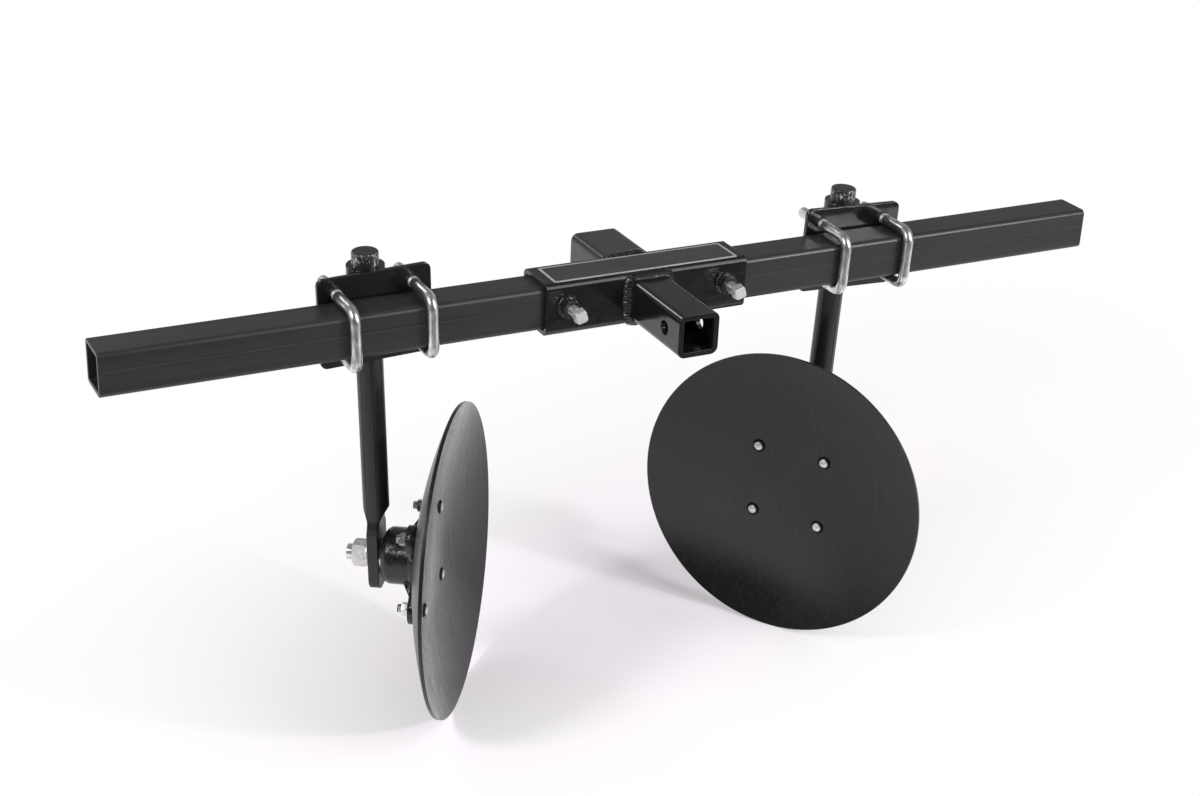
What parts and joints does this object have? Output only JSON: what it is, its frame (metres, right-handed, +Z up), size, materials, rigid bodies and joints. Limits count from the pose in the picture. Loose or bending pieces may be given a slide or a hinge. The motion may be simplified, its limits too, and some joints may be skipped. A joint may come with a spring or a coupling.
{
  "type": "disc bedder",
  "caption": "Toolbar implement whose dished discs, carried on swivelling shanks, throw soil inward into a raised bed behind a hitched tractor.",
  "frame": {"origin": "centre of the hitch pin hole in the front hitch tube", "axes": "+X to the right along the toolbar, +Y rearward, -Y forward to the tractor, +Z up"},
  "size_m": [1.27, 0.313, 0.5749],
  "materials": {
    "black_coat": "semi-gloss black powder coat",
    "shank_coat": "gloss black paint on forged bar",
    "disc_coat": "satin black paint",
    "cast_black": "gloss black paint on rough casting",
    "black_steel": "gloss black paint over weld",
    "zinc": "bright zinc plate",
    "seal": "matt black rubber"
  },
  "bodies": {
    "frame": {"toolbar": "black_coat", "hitch_sleeve": "black_coat", "hitch_tube": "black_coat", "rear_receiver": "black_coat", "sleeve_nuts": "black_steel", "sleeve_bolts": "zinc", "left_clamp_plate": "black_coat", "left_socket": "black_coat", "left_socket_nuts": "black_steel", "left_socket_bolts": "zinc", "left_u_bolt_outer": "zinc", "left_u_bolt_inner": "zinc", "left_u_bolt_nuts": "zinc", "right_clamp_plate": "black_coat", "right_socket": "black_coat", "right_socket_nuts": "black_steel", "right_socket_bolts": "zinc", "right_u_bolt_outer": "zinc", "right_u_bolt_inner": "zinc", "right_u_bolt_nuts": "zinc"},
    "left_shank": {"left_shank": "shank_coat", "left_spindle": "zinc", "left_spindle_nut": "zinc"},
    "left_disc": {"left_hub": "cast_black", "left_hub_seal": "seal", "left_grease_fitting": "zinc", "left_disc": "disc_coat", "left_disc_bolts": "zinc", "left_disc_nuts": "zinc"},
    "right_shank": {"right_shank": "shank_coat", "right_spindle": "zinc", "right_spindle_nut": "zinc"},
    "right_disc": {"right_hub": "cast_black", "right_hub_seal": "seal", "right_grease_fitting": "zinc", "right_disc": "disc_coat", "right_disc_bolts": "zinc", "right_disc_nuts": "zinc"}
  },
  "joints": [
    {"name": "left_shank_swivel", "type": "hinge", "parent": "frame", "child": "left_shank", "pos_m": [-0.3125, 0.1725, 0], "axis": [-0.0366, 0, 0.9993], "continuous": true},
    {"name": "left_disc_spin", "type": "hinge", "parent": "left_shank", "child": "left_disc", "pos_m": [-0.30077, 0.1725, -0.31978], "axis": [0.8206, -0.5707, 0.0301], "continuous": true},
    {"name": "right_shank_swivel", "type": "hinge", "parent": "frame", "child": "right_shank", "pos_m": [0.3125, 0.1725, 0], "axis": [0.0366, 0, 0.9993], "continuous": true},
    {"name": "right_disc_spin", "type": "hinge", "parent": "right_shank", "child": "right_disc", "pos_m": [0.30077, 0.1725, -0.31978], "axis": [-0.8206, -0.5707, 0.0301], "continuous": true}
  ]
}
